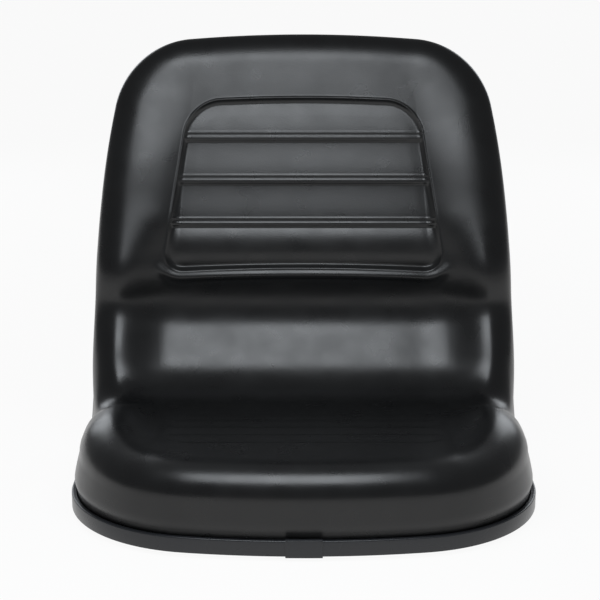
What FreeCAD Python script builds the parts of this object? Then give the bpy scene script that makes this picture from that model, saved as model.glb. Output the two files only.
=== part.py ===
import FreeCAD, Part
import math
import os
import Sketcher

V = FreeCAD.Vector
doc = FreeCAD.newDocument("mower_seat")

# Driving dimensions in millimetres and degrees.
# X runs across the seat, Y to the rear and Z up; the pan's bosses stand on Z = 0.
SIZES = [
    ("overall_width", 470),
    ("front_reach", 159),
    ("front_bow_radius", 690),
    ("front_corner_radius", 141),
    ("bend_start", 123),
    ("bend_radius", 80),
    ("back_lean", 15),
    ("back_length", 381),
    ("back_side_radius", 1575),
    ("back_corner_radius", 88),
    ("back_top_radius", 1500),
    ("sheet_gauge", 1.5),
    ("upstand_height", 14),
    ("pan_edge_radius", 7),
    ("boss_height", 3),
    ("boss_radius", 22),
    ("boss_draft", 35),
    ("bolt_side_margin", 108),
    ("bolt_bend_margin", 28),
    ("bolt_hole_radius", 4.5),
    ("drain_hole_radius", 5),
    ("drain_spacing", 120),
    ("bead_length", 230),
    ("bead_width", 28),
    ("bead_height", 4),
    ("bead_spacing", 110),
    ("bead_foot", 50),
    ("bead_draft", 35),
    ("nut_across_flats", 13),
    ("nut_height", 6.5),
    ("nut_bore_radius", 4.1),
    ("nut_room", 4),
    ("trim_leg", 2),
    ("trim_crown", 3),
    ("trim_inner_leg", 1.5),
    ("trim_drop", 12.5),
    ("trim_inner_drop", 8),
    ("trim_fit", 0.25),
    ("trim_edge_radius", 1.2),
    ("trim_joint_gap", 2),
    ("joiner_length", 35),
    ("joiner_wall", 0.8),
    ("joiner_lip", 2),
    ("seat_front_height", 84),
    ("seat_fall", 3.9),
    ("fillet_radius", 88),
    ("lumbar_overhang", 12),
    ("lumbar_radius", 60),
    ("face_lean", 15.5),
    ("insert_foot_reach", 189.5),
    ("edge_roll", 42),
    ("back_edge_roll", 30),
    ("wall_lean", 6),
    ("edge_wall_height", 24),
    ("edge_wall_share", 0.45),
    ("cushion_fit", 0.5),
    ("top_overhang", 6),
    ("seat_bolster", 18),
    ("hip_bolster", 3),
    ("wing_foot_height", 27),
    ("wing_height", 14),
    ("wing_top_height", 2),
    ("bolster_foot", 146),
    ("hip_foot", 128),
    ("wing_foot", 156),
    ("bolster_crest", 192),
    ("wing_crest", 214),
    ("bolster_fullness", 0.9),
    ("insert_length", 195),
    ("insert_drop", 8),
    ("insert_foot_width", 312),
    ("insert_top_width", 252),
    ("insert_foot_corner", 17),
    ("insert_top_corner", 33),
    ("insert_foot_bow", 5),
    ("insert_top_bow", 8),
    ("insert_depth", 5),
    ("insert_gap", 1.5),
    ("rib_width", 5),
    ("seat_insert_width", 280),
    ("seat_insert_length", 115),
    ("seat_insert_front", 57),
    ("seat_insert_corner", 22),
    ("seat_insert_depth", 2),
]

sheet = doc.addObject("Spreadsheet::Sheet", "dimensions")
for row, (alias, value) in enumerate(SIZES, start=1):
    sheet.set("A%d" % row, alias)
    sheet.set("B%d" % row, str(value))
    sheet.setAlias("B%d" % row, alias)
doc.recompute()


def size(alias):
    return float(getattr(sheet, alias))


def line(start, end):
    return Part.LineSegment(V(*start, 0), V(*end, 0))


def arc(centre, radius, first, last):
    """Counter-clockwise arc in a sketch plane, its angles in degrees."""
    circle = Part.Circle(V(*centre, 0), V(0, 0, 1), radius)
    return Part.ArcOfCircle(circle, math.radians(first), math.radians(last))


def bulge(start, middle, end):
    """Arc through three points, run counter-clockwise whichever way they are given."""
    first, through, last = [V(point[0], point[1], 0) for point in (start, middle, end)]
    if (through - first).cross(last - through).z < 0:
        first, last = last, first
    return Part.Arc(first, through, last)


def draw(sketch, pieces, ties=()):
    """Adds a chain of lines and arcs, joins their ends and ties the radii of arcs to the sheet.

    The ties follow the pieces' order; where one is None the piece is left as drawn.
    """
    for piece in pieces:
        sketch.addGeometry(piece, False)
    ends = []
    for index, piece in enumerate(pieces):
        if isinstance(piece, Part.Circle):
            continue
        ends.append((index, 1, piece.StartPoint))
        ends.append((index, 2, piece.EndPoint))
    for place, (index, end, point) in enumerate(ends):
        for other, other_end, other_point in ends[place + 1:]:
            if other != index and point.distanceToPoint(other_point) < 1e-5:
                sketch.addConstraint(Sketcher.Constraint("Coincident", index, end, other, other_end))
    for index, expression in enumerate(ties):
        if expression is None:
            continue
        constraint = Sketcher.Constraint("Radius", index, pieces[index].Radius)
        number = sketch.addConstraint(constraint)
        sketch.setExpression("Constraints[%d]" % number, expression)


def body_sketch(body, role, name, offset=None):
    """Sketch on one of the body's own origin planes, moved by an offset if one is given."""
    sketch = body.newObject("Sketcher::SketchObject", name)
    plane = [f for f in body.Origin.OriginFeatures if f.Role == role][0]
    sketch.AttachmentSupport = (plane, [""])
    sketch.MapMode = "FlatFace"
    if offset is not None:
        sketch.AttachmentOffset = offset
    return sketch


def free_sketch(name, placement):
    sketch = doc.addObject("Sketcher::SketchObject", name)
    sketch.Placement = placement
    return sketch


def extrusion(name, sketch, forward, backward):
    solid = doc.addObject("Part::Extrusion", name)
    solid.Base = sketch
    solid.DirMode = "Normal"
    solid.Solid = True
    solid.setExpression("LengthFwd", forward)
    solid.setExpression("LengthRev", backward)
    return solid


def facing(origin, across, up):
    """Placement whose sketch X axis is across and sketch Y axis is up."""
    return FreeCAD.Placement(origin, FreeCAD.Rotation(across, up, across.cross(up), "XYZ"))


# The pan's outside wall in plan: bowed front, round corners, straight sides.
HALF = size("overall_width") / 2 - size("trim_leg")
FRONT = size("front_reach") - size("trim_leg")
BOW = size("front_bow_radius")
CORNER = size("front_corner_radius")
BOW_Y = BOW - FRONT
CORNER_X = HALF - CORNER
CORNER_Y = BOW_Y - math.sqrt((BOW - CORNER) ** 2 - CORNER_X ** 2)
CORNER_TURN = math.degrees(math.atan2(CORNER_X, BOW_Y - CORNER_Y))

# The same wall on the flat back, measured up from the end of the bend.
SIDE = size("back_side_radius")
KNUCKLE = size("back_corner_radius")
TOP = size("back_top_radius")
LENGTH = size("back_length")
TOP_T = LENGTH - TOP
BEND = 90 - size("back_lean")


def circles_meet(first, first_radius, second, second_radius):
    """The upper of the two points that lie on both circles."""
    gap_x = second[0] - first[0]
    gap_y = second[1] - first[1]
    gap = math.hypot(gap_x, gap_y)
    along = (first_radius ** 2 - second_radius ** 2 + gap ** 2) / (2 * gap)
    off = math.sqrt(first_radius ** 2 - along ** 2)
    middle = (first[0] + along * gap_x / gap, first[1] + along * gap_y / gap)
    step = (off * gap_y / gap, -off * gap_x / gap)
    found = [(middle[0] + turn * step[0], middle[1] + turn * step[1]) for turn in (1, -1)]
    return max(found, key=lambda point: point[1])


KNUCKLE_X, KNUCKLE_T = circles_meet((HALF - SIDE, 0), SIDE - KNUCKLE, (0, TOP_T), TOP - KNUCKLE)
SIDE_TURN = math.degrees(math.atan2(KNUCKLE_T, KNUCKLE_X - HALF + SIDE))
TOP_TURN = math.degrees(math.atan2(KNUCKLE_T - TOP_T, KNUCKLE_X))

# Sheet of the pan seen from the side: outer face, inner face and the bend between.
GAUGE = size("sheet_gauge")
OUTER_Z = size("boss_height")
INNER_Z = OUTER_Z + GAUGE
BEND_Y = size("bend_start")
BEND_R = size("bend_radius")
BEND_CENTRE = V(0, BEND_Y, INNER_Z + BEND_R)
UP_BACK = V(0, math.cos(math.radians(BEND)), math.sin(math.radians(BEND)))
OFF_BACK = V(0, -math.sin(math.radians(BEND)), math.cos(math.radians(BEND)))
ACROSS = V(1, 0, 0)
BACK_OUTER = BEND_CENTRE - OFF_BACK * (BEND_R + GAUGE)


def front_wall(offset=0):
    """Arcs of the wall at the front, from the left side to the right side."""
    left = arc((-CORNER_X, CORNER_Y), CORNER + offset, 180, 270 - CORNER_TURN)
    middle = arc((0, BOW_Y), BOW + offset, 270 - CORNER_TURN, 270 + CORNER_TURN)
    right = arc((CORNER_X, CORNER_Y), CORNER + offset, 270 + CORNER_TURN, 360)
    return [left, middle, right]


def back_wall():
    """Arcs of the wall round the back, from the right side to the left side."""
    right = arc((HALF - SIDE, 0), SIDE, 0, SIDE_TURN)
    right_top = arc((KNUCKLE_X, KNUCKLE_T), KNUCKLE, SIDE_TURN, TOP_TURN)
    top = arc((0, TOP_T), TOP, TOP_TURN, 180 - TOP_TURN)
    left_top = arc((-KNUCKLE_X, KNUCKLE_T), KNUCKLE, 180 - TOP_TURN, 180 - SIDE_TURN)
    left = arc((SIDE - HALF, 0), SIDE, 180 - SIDE_TURN, 180)
    return [right, right_top, top, left_top, left]


# Seat pan: one pressed steel sheet, so a solid tray is shaped first and then hollowed to the gauge.
pan = doc.addObject("PartDesign::Body", "seat_pan_body")
pan.Label = "seat_pan"
SPARE = 20


def tray_profile():
    """Side view of the tray: outer face, bend, back, and the same lines at the upstand's height."""
    tray = size("upstand_height")
    start = (-FRONT - SPARE, OUTER_Z)
    bend_in = (BEND_Y, OUTER_Z)
    outer = arc((BEND_Y, BEND_CENTRE.z), BEND_R + GAUGE, 270, 270 + BEND)
    inner = arc((BEND_Y, BEND_CENTRE.z), BEND_R + GAUGE - tray, 270, 270 + BEND)
    bend_out = (outer.EndPoint.x, outer.EndPoint.y)
    run = LENGTH + SPARE
    head = (bend_out[0] + run * UP_BACK.y, bend_out[1] + run * UP_BACK.z)
    inner_out = (inner.EndPoint.x, inner.EndPoint.y)
    inner_head = (inner_out[0] + run * UP_BACK.y, inner_out[1] + run * UP_BACK.z)
    inner_in = (BEND_Y, OUTER_Z + tray)
    inner_start = (start[0], OUTER_Z + tray)
    bottom = line(start, bend_in)
    top = line(inner_start, inner_in)
    back = line(bend_out, head)
    face = line(inner_out, inner_head)
    return [bottom, outer, back, line(head, inner_head), face, inner, top, line(inner_start, start)]


profile = body_sketch(pan, "YZ_Plane", "tray_profile")
draw(profile, tray_profile(), [None, "dimensions.bend_radius + dimensions.sheet_gauge"])
tray = pan.newObject("PartDesign::Pad", "tray")
tray.Profile = profile
tray.SideType = "Symmetric"
tray.setExpression("Length", "dimensions.overall_width - 2 * dimensions.trim_leg")

front_sketch = body_sketch(pan, "XY_Plane", "front_outline")
wide = HALF + SPARE
ahead = -FRONT - 2 * SPARE
front_pieces = front_wall() + [
    line((HALF, CORNER_Y), (wide, CORNER_Y)),
    line((wide, CORNER_Y), (wide, ahead)),
    line((wide, ahead), (-wide, ahead)),
    line((-wide, ahead), (-wide, CORNER_Y)),
    line((-wide, CORNER_Y), (-HALF, CORNER_Y)),
]
front_ties = ["dimensions.front_corner_radius", "dimensions.front_bow_radius"]
draw(front_sketch, front_pieces, front_ties)
front_cut = pan.newObject("PartDesign::Pocket", "front_cut")
front_cut.Profile = front_sketch
front_cut.Type = "ThroughAll"
front_cut.Reversed = True

# The back's plane in the origin plane's own terms: lifted to the bend's end and leaned back.
lean = FreeCAD.Rotation(ACROSS, -size("back_lean"))
back_plane = FreeCAD.Placement(V(0, BACK_OUTER.z, -BACK_OUTER.y), lean)
back_sketch = body_sketch(pan, "XZ_Plane", "back_outline", back_plane)
above = LENGTH + 2 * SPARE
back_pieces = back_wall() + [
    line((-HALF, 0), (-wide, 0)),
    line((-wide, 0), (-wide, above)),
    line((-wide, above), (wide, above)),
    line((wide, above), (wide, 0)),
    line((wide, 0), (HALF, 0)),
]
back_ties = [
    "dimensions.back_side_radius",
    "dimensions.back_corner_radius",
    "dimensions.back_top_radius",
]
draw(back_sketch, back_pieces, back_ties)
back_cut = pan.newObject("PartDesign::Pocket", "back_cut")
back_cut.Profile = back_sketch
back_cut.Type = "Length"
back_cut.setExpression("Length", "3 * dimensions.upstand_height")
back_cut.SideType = "Symmetric"
doc.recompute()


def rim_edges(shape):
    """Names of the edges where the tray's outer face turns into its wall."""
    names = []
    for number, edge in enumerate(shape.Edges, start=1):
        first, last = edge.ParameterRange
        middle = edge.valueAt((first + last) / 2)
        off_seat = abs(middle.z - OUTER_Z) if middle.y < BEND_Y + 1e-3 else 1e9
        off_back = abs((middle - BACK_OUTER).dot(OFF_BACK))
        arm = math.hypot(middle.y - BEND_Y, middle.z - BEND_CENTRE.z)
        off_bend = abs(arm - BEND_R - GAUGE) if middle.z < BACK_OUTER.z else 1e9
        crosses = abs(middle.x) < 1 and edge.Curve.TypeId == "Part::GeomLine"
        if min(off_seat, off_back, off_bend) < 1e-3 and not crosses:
            names.append("Edge%d" % number)
    return names


pan_edge = pan.newObject("PartDesign::Fillet", "pan_edge")
pan_edge.Base = (back_cut, rim_edges(back_cut.Shape))
pan_edge.setExpression("Radius", "dimensions.pan_edge_radius")

# Four bosses pressed down round the bolts, so the pan stands on flat pads.
ACROSS_HALF = HALF - size("bolt_side_margin")
ALONG_HALF = BEND_Y - size("bolt_bend_margin")
BOLTS = [(x, y) for x in (-ACROSS_HALF, ACROSS_HALF) for y in (-ALONG_HALF, ALONG_HALF)]


def circles(sketch, centres, radius):
    """One circle at each centre, the radius of all of them tied to a cell."""
    rings = [Part.Circle(V(x, y, 0), V(0, 0, 1), size(radius)) for x, y in centres]
    draw(sketch, rings, ["dimensions." + radius] * len(rings))


boss_sketch = body_sketch(pan, "XY_Plane", "boss_circles")
circles(boss_sketch, BOLTS, "boss_radius")
bosses = pan.newObject("PartDesign::Pad", "bosses")
bosses.Profile = boss_sketch
bosses.setExpression("Length", "dimensions.boss_height")
bosses.setExpression("TaperAngle", "dimensions.boss_draft")

# Three stiffening beads pressed rearwards out of the back.
bead_sketch = body_sketch(pan, "XZ_Plane", "bead_slots", back_plane)


def slot(x, foot, head, radius):
    right = line((x + radius, foot), (x + radius, head))
    left = line((x - radius, head), (x - radius, foot))
    return [right, arc((x, head), radius, 0, 180), left, arc((x, foot), radius, 180, 360)]


bead_pieces = []
for lane in (-1, 0, 1):
    bead_low = size("bead_foot") + size("bead_width") / 2
    bead_high = size("bead_foot") + size("bead_length") - size("bead_width") / 2
    bead_pieces += slot(lane * size("bead_spacing"), bead_low, bead_high, size("bead_width") / 2)
bead_ties = [None, "dimensions.bead_width / 2", None, None] * 3
draw(bead_sketch, bead_pieces, bead_ties)
beads = pan.newObject("PartDesign::Pad", "beads")
beads.Profile = bead_sketch
beads.Reversed = True
beads.setExpression("Length", "dimensions.bead_height")
beads.setExpression("TaperAngle", "-dimensions.bead_draft")
doc.recompute()


def open_faces(shape):
    """Names of the tray's upper faces, which the hollowing leaves open."""
    names = []
    depth = size("upstand_height")
    for number, face in enumerate(shape.Faces, start=1):
        point = face.valueAt(*[sum(face.ParameterRange[k:k + 2]) / 2 for k in (0, 2)])
        on_seat = abs(point.z - OUTER_Z - depth) < 1e-3 and point.y < BEND_Y
        on_back = abs((point - BACK_OUTER).dot(OFF_BACK) - depth) < 1e-3 and point.z > BACK_OUTER.z
        arm = math.hypot(point.y - BEND_Y, point.z - BEND_CENTRE.z)
        on_bend = abs(arm - BEND_R - GAUGE + depth) < 1e-3 and point.z < BACK_OUTER.z
        if on_seat or on_back or on_bend:
            names.append("Face%d" % number)
    return names


hollow = pan.newObject("PartDesign::Thickness", "hollow")
hollow.Base = (beads, open_faces(beads.Shape))
hollow.Reversed = True
hollow.Join = 0
hollow.setExpression("Value", "dimensions.sheet_gauge")

hole_sketch = body_sketch(pan, "XY_Plane", "bolt_holes")
circles(hole_sketch, BOLTS, "bolt_hole_radius")
bolt_holes = pan.newObject("PartDesign::Pocket", "bolt_hole_cut")
bolt_holes.Profile = hole_sketch
bolt_holes.Reversed = True
bolt_holes.setExpression("Length", "dimensions.boss_height + 2 * dimensions.sheet_gauge")

drain_sketch = body_sketch(pan, "XY_Plane", "drain_holes")
DRAINS = [(-size("drain_spacing") / 2, 0), (size("drain_spacing") / 2, 0)]
circles(drain_sketch, DRAINS, "drain_hole_radius")
drains = pan.newObject("PartDesign::Pocket", "drain_cut")
drains.Profile = drain_sketch
drains.Reversed = True
drains.setExpression("Length", "dimensions.boss_height + 2 * dimensions.sheet_gauge")
pan.Tip = drains
doc.recompute()

# Weld nuts: four hexagons with a clear bore, standing on the bosses' inner floors.
nut_sketch = free_sketch("nut_plan", FreeCAD.Placement(V(0, 0, GAUGE), FreeCAD.Rotation()))
NUT_RADIUS = size("nut_across_flats") / math.sqrt(3)


def hexagon(x, y):
    turns = [k * math.pi / 3 for k in range(6)]
    corners = [(x + NUT_RADIUS * math.cos(turn), y + NUT_RADIUS * math.sin(turn)) for turn in turns]
    return [line(corners[k - 1], corners[k]) for k in range(6)]


nut_sides = [side for x, y in BOLTS for side in hexagon(x, y)]
nut_bores = [Part.Circle(V(x, y, 0), V(0, 0, 1), size("nut_bore_radius")) for x, y in BOLTS]
bore_ties = [None] * len(nut_sides) + ["dimensions.nut_bore_radius"] * len(BOLTS)
draw(nut_sketch, nut_sides + nut_bores, bore_ties)
nuts = extrusion("weld_nuts_solid", nut_sketch, "dimensions.nut_height", "0")
nuts.FaceMakerClass = "Part::FaceMakerBullseye"
nuts.Label = "weld_nuts"

# Edge trim: a plastic channel, its section swept round the seat, turned round the bend
# and swept round the back; the ends meet at the front with a small gap.
LEG_IN = size("trim_fit")
LEG_OUT = size("trim_leg")
GRIP = GAUGE + size("trim_fit")
GRIP_IN = GRIP + size("trim_inner_leg")
CROWN_LOW = size("upstand_height")
CROWN_TOP = CROWN_LOW + size("trim_crown")
LEG_FOOT = CROWN_LOW - size("trim_drop")
INNER_FOOT = CROWN_LOW - size("trim_inner_drop")


def channel():
    """The trim's section: out from the pan's wall along X, off the sheet's outer face along Y."""
    soft = size("trim_edge_radius")
    outer_corner = arc((LEG_OUT - soft, CROWN_TOP - soft), soft, 0, 90)
    inner_corner = arc((soft - GRIP_IN, CROWN_TOP - soft), soft, 90, 180)
    corners = [
        (-GRIP_IN, CROWN_TOP - soft),
        (-GRIP_IN, INNER_FOOT),
        (-GRIP, INNER_FOOT),
        (-GRIP, CROWN_LOW),
        (LEG_IN, CROWN_LOW),
        (LEG_IN, LEG_FOOT),
        (LEG_OUT, LEG_FOOT),
        (LEG_OUT, CROWN_TOP - soft),
    ]
    sides = [line(corners[k], corners[k + 1]) for k in range(len(corners) - 1)]
    crown = line((LEG_OUT - soft, CROWN_TOP), (soft - GRIP_IN, CROWN_TOP))
    return sides + [outer_corner, crown, inner_corner]


def section(name, origin, outward, off_sheet):
    sketch = free_sketch(name, facing(origin, outward, off_sheet))
    draw(sketch, channel(), [None] * 7 + ["dimensions.trim_edge_radius"])
    return sketch


def swept(name, profile_sketch, path):
    sweep = doc.addObject("Part::Sweep", name)
    sweep.Sections = [profile_sketch]
    sweep.Spine = (path, ["Edge%d" % (k + 1) for k in range(len(path.Geometry))])
    sweep.Solid = True
    sweep.Frenet = False
    return sweep


def turned(name, profile_sketch):
    """The section turned about the bend's axis."""
    turn = doc.addObject("Part::Revolution", name)
    turn.Source = profile_sketch
    turn.Axis = ACROSS
    turn.Base = BEND_CENTRE
    turn.Solid = True
    turn.setExpression("Angle", "90 - dimensions.back_lean")
    return turn


SEAT_LEFT = V(-HALF, BEND_Y, OUTER_Z)
SEAT_RIGHT = V(HALF, BEND_Y, OUTER_Z)
UP = V(0, 0, 1)
left_section = section("trim_left_section", SEAT_LEFT, -ACROSS, UP)
right_section = section("trim_right_section", SEAT_RIGHT, ACROSS, UP)
back_section = section("trim_back_section", BACK_OUTER + ACROSS * HALF, ACROSS, OFF_BACK)
seat_path = free_sketch("trim_seat_path", FreeCAD.Placement(V(0, 0, OUTER_Z), FreeCAD.Rotation()))
left_run = line((-HALF, BEND_Y), (-HALF, CORNER_Y))
right_run = line((HALF, CORNER_Y), (HALF, BEND_Y))
path_ties = [None] + front_ties
draw(seat_path, [left_run] + front_wall() + [right_run], path_ties)
back_path = free_sketch("trim_back_path", facing(BACK_OUTER, ACROSS, UP_BACK))
draw(back_path, back_wall(), back_ties)
doc.recompute()
trim_loop = doc.addObject("Part::MultiFuse", "trim_loop")
trim_loop.Shapes = [
    swept("trim_seat", left_section, seat_path),
    swept("trim_back", back_section, back_path),
    turned("trim_left_bend", left_section),
    turned("trim_right_bend", right_section),
]
trim_loop.Refine = True
joint = doc.addObject("Part::Box", "trim_joint")
joint.setExpression("Length", "dimensions.trim_joint_gap")
joint.setExpression("Width", "4 * dimensions.upstand_height")
joint.setExpression("Height", "4 * dimensions.upstand_height")
joint.setExpression("Placement.Base.x", "-dimensions.trim_joint_gap / 2")
joint.setExpression("Placement.Base.y", "-dimensions.front_reach - dimensions.upstand_height")
joint.setExpression("Placement.Base.z", "-dimensions.upstand_height")
trim = doc.addObject("Part::Cut", "edge_trim_cut")
trim.Base = trim_loop
trim.Tool = joint
trim.Label = "edge_trim"

# Trim joiner: a short open sleeve bent to the same bow, clipped over the joint from outside.
joiner = doc.addObject("PartDesign::Body", "trim_joiner_body")
joiner.Label = "trim_joiner"
sleeve_sketch = body_sketch(joiner, "YZ_Plane", "sleeve_section")


def sleeve():
    """Section of the sleeve across the trim, as seen from the side at the front's middle."""
    fit = size("trim_fit")
    wall = size("joiner_wall")
    lip = size("joiner_lip")
    face = -FRONT - LEG_OUT - fit
    top = OUTER_Z + CROWN_TOP + fit
    foot = OUTER_Z + LEG_FOOT - fit
    corners = [
        (face - wall, foot - wall),
        (face + lip, foot - wall),
        (face + lip, foot),
        (face, foot),
        (face, top),
        (face + 2 * lip, top),
        (face + 2 * lip, top + wall),
        (face - wall, top + wall),
    ]
    return [line(corners[k - 1], corners[k]) for k in range(len(corners))]


draw(sleeve_sketch, sleeve())
sleeve_sketch.addGeometry(line((BOW_Y, 0), (BOW_Y, OUTER_Z)), True)
sleeve_turn = joiner.newObject("PartDesign::Revolution", "sleeve")
sleeve_turn.Profile = sleeve_sketch
sleeve_turn.ReferenceAxis = (sleeve_sketch, ["Axis0"])
sleeve_turn.Midplane = True
sleeve_turn.setExpression("Angle", "dimensions.joiner_length / dimensions.front_bow_radius * 180 / pi")
joiner.Tip = sleeve_turn
doc.recompute()


# Cushion: one foam moulding. Its skin is a smooth closed surface shaped by a net of rings.
# Every ring point is set out on the developed pan: across it, and along it from the front rim.
BEND_FROM = FRONT + BEND_Y
BEND_TO = BEND_FROM + BEND_R * math.radians(BEND)
RIM_LENGTH = BEND_TO + LENGTH


def pan_line(run):
    """Point on the pan's inner face and its normal, both as (Y, Z), at a run from the front rim."""
    turn = math.radians(BEND) * min(1, max(0, (run - BEND_FROM) / (BEND_TO - BEND_FROM)))
    flat = min(run, BEND_FROM) - FRONT
    rise = max(0, run - BEND_TO)
    y = flat + BEND_R * math.sin(turn) + rise * math.cos(turn)
    z = INNER_Z + BEND_R * (1 - math.cos(turn)) + rise * math.sin(turn)
    return (y, z), (-math.sin(turn), math.cos(turn))


# The sitter's side along the middle: falling seat, hollow fillet, lumbar roll, leaning back.
FALL = math.radians(size("seat_fall"))
OVER = math.radians(size("lumbar_overhang"))
LEAN = math.radians(size("face_lean"))
FILLET = size("fillet_radius")
LUMBAR = size("lumbar_radius")
FACE_Z = INNER_Z + size("seat_front_height")
FILLET_Y = size("insert_foot_reach") - (FILLET + LUMBAR) * math.cos(OVER) + LUMBAR * math.cos(LEAN)
FILLET_Z = FACE_Z - (FILLET_Y + FRONT) * math.tan(FALL) + FILLET / math.cos(FALL)
SEAT_RUN = (FILLET_Y - FILLET * math.sin(FALL) + FRONT) / math.cos(FALL)
FILLET_RUN = FILLET * (FALL + math.pi / 2 + OVER)
LUMBAR_RUN = LUMBAR * (OVER + LEAN)
LUMBAR_Y = FILLET_Y + (FILLET + LUMBAR) * math.cos(OVER)
LUMBAR_Z = FILLET_Z + (FILLET + LUMBAR) * math.sin(OVER)
FOOT_Y = LUMBAR_Y - LUMBAR * math.cos(LEAN)
FOOT_Z = LUMBAR_Z + LUMBAR * math.sin(LEAN)
FOOT_RUN = SEAT_RUN + FILLET_RUN + LUMBAR_RUN
RIM_TOP = pan_line(RIM_LENGTH)[0]
FACE_TOP = (RIM_TOP[0] - FOOT_Y) * math.sin(LEAN) + (RIM_TOP[1] - FOOT_Z) * math.cos(LEAN)
FACE_LENGTH = FOOT_RUN + FACE_TOP


def face_line(run):
    """Point on the sitter's side along the middle and its normal, both as (Y, Z)."""
    if run < SEAT_RUN:
        slope = -FALL
        y = run * math.cos(FALL) - FRONT
        z = FACE_Z - run * math.sin(FALL)
    elif run < SEAT_RUN + FILLET_RUN:
        slope = (run - SEAT_RUN) / FILLET - FALL
        y = FILLET_Y + FILLET * math.sin(slope)
        z = FILLET_Z - FILLET * math.cos(slope)
    elif run < FOOT_RUN:
        slope = math.pi / 2 + OVER - (run - SEAT_RUN - FILLET_RUN) / LUMBAR
        y = LUMBAR_Y - LUMBAR * math.sin(slope)
        z = LUMBAR_Z + LUMBAR * math.cos(slope)
    else:
        slope = math.pi / 2 - LEAN
        y = FOOT_Y + (run - FOOT_RUN) * math.sin(LEAN)
        z = FOOT_Z + (run - FOOT_RUN) * math.cos(LEAN)
    return (y, z), (-math.sin(slope), math.cos(slope))


def ease(start, end, value):
    """Zero before start, one after end, a smooth step between."""
    part = min(1, max(0, (value - start) / (end - start)))
    return part * part * (3 - 2 * part)


def swell_up(start, end, value):
    """Zero before start, one after end; it rises at once and levels out."""
    part = min(1, max(0, (value - start) / (end - start)))
    return part * (2 - part)


# The two sides differ in length; the difference is taken up between these runs.
MATCH_FROM = 0.75 * BEND_FROM
MATCH_TO = BEND_TO + 60


def face_run(run):
    """The run on the sitter's side that belongs to a run on the pan, equal steps at both ends."""
    return run + (FACE_LENGTH - RIM_LENGTH) * ease(MATCH_FROM, MATCH_TO, run)


# Runs over which the bolsters rise at the front, sink at the hips, grow into wings, ease and fade at the top.
SEAT_RISE = (20, 160)
HIP_FALL = (BEND_FROM - 110, BEND_FROM - 30)
WING_RISE = (BEND_FROM - 9, BEND_TO + 53)
WING_EASE = (BEND_TO + 55, BEND_TO + 128)
WING_FADE = (RIM_LENGTH - 170, RIM_LENGTH - 30)

# Runs over which the bolsters' inner feet draw together and their crests move out at the hips,
# and over which the feet part again beside the insert.
HIP_CLOSE = (BEND_FROM - 40, BEND_FROM + 50)
HIP_OPEN = (BEND_TO + 65, BEND_TO + 125)


def bolster(x, run):
    """Height of the side bolsters and wings over the middle, a smooth step from foot to crest."""
    low = size("hip_bolster") - size("seat_bolster")
    wing = size("wing_foot_height") - size("hip_bolster")
    back = size("wing_height") - size("wing_foot_height")
    fade = size("wing_top_height") - size("wing_height")
    height = size("seat_bolster") * ease(*SEAT_RISE, run)
    height += low * ease(*HIP_FALL, run)
    height += wing * swell_up(*WING_RISE, run)
    height += back * ease(*WING_EASE, run)
    height += fade * ease(*WING_FADE, run)
    climb = max(0, run - BEND_TO)
    narrow = (HALF - SIDE + math.sqrt(SIDE ** 2 - min(climb, LENGTH) ** 2)) / HALF
    foot = size("bolster_foot")
    foot += (size("hip_foot") - size("bolster_foot")) * ease(*HIP_CLOSE, run)
    foot += (size("wing_foot") - size("hip_foot")) * ease(*HIP_OPEN, run)
    crest = size("bolster_crest")
    crest += (size("wing_crest") - size("bolster_crest")) * ease(*HIP_CLOSE, run)
    part = min(1, max(0, (abs(x) / narrow - foot) / (crest - foot)))
    return height * ease(0, 1, part ** size("bolster_fullness"))


# Up to the first height the cushion's wall stands square to the pan, and from the second it has turned.
SQUARE_TO = 18
TURNED_AT = 45


def skin_point(x, run, share):
    """Point a share of the way from the pan's inner face to the sitter's side."""
    (y, z), (pan_y, pan_z) = pan_line(run)
    (face_y, face_z), (normal_y, normal_z) = face_line(face_run(run))
    rise = bolster(x, run)
    face_y += rise * normal_y
    face_z += rise * normal_z
    thick = math.hypot(face_y - y, face_z - z)
    leave = ease(SQUARE_TO, TURNED_AT, share * thick)
    y += share * (leave * (face_y - y) + (1 - leave) * thick * pan_y)
    z += share * (leave * (face_z - z) + (1 - leave) * thick * pan_z)
    return V(x, y, z)


def thickness(x, run):
    inner = skin_point(x, run, 0)
    return inner.distanceToPoint(skin_point(x, run, 1))


# How many stations of the net lie on each piece of one half of the wall.
ON_BOW = 5
ON_CORNER = 9
ON_SIDE = 9
ON_BACK_SIDE = 9
ON_KNUCKLE = 7
ON_TOP = 5


def arc_stations(x, run, radius, first, last, count):
    """Stations along an arc of the wall; its last point is left to the piece that follows."""
    stations = []
    for k in range(count):
        turn = math.radians(first + (last - first) * k / count)
        out_x = math.cos(turn)
        out_run = math.sin(turn)
        stations.append((x + radius * out_x, run + radius * out_run, out_x, out_run))
    return stations


def rim_stations():
    """The pan's wall as (x, run, outward x, outward run), once round from the front's middle."""
    side_from = FRONT + CORNER_Y
    side_step = (BEND_TO - side_from) / ON_SIDE
    half = arc_stations(0, FRONT + BOW_Y, BOW, -90, CORNER_TURN - 90, ON_BOW)
    half += arc_stations(CORNER_X, side_from, CORNER, CORNER_TURN - 90, 0, ON_CORNER)
    half += [(HALF, side_from + side_step * k, 1, 0) for k in range(ON_SIDE)]
    half += arc_stations(HALF - SIDE, BEND_TO, SIDE, 0, SIDE_TURN, ON_BACK_SIDE)
    half += arc_stations(KNUCKLE_X, BEND_TO + KNUCKLE_T, KNUCKLE, SIDE_TURN, TOP_TURN, ON_KNUCKLE)
    half += arc_stations(0, BEND_TO + TOP_T, TOP, TOP_TURN, 90, ON_TOP)
    other = [(-x, run, -out_x, out_run) for x, run, out_x, out_run in reversed(half[1:])]
    return half + [(0, RIM_LENGTH, 0, 1)] + other


RIM = rim_stations()
HUG = GRIP_IN + size("cushion_fit")
OVERHANG_RISE = (BEND_TO + 40, RIM_LENGTH - 90)


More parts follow.
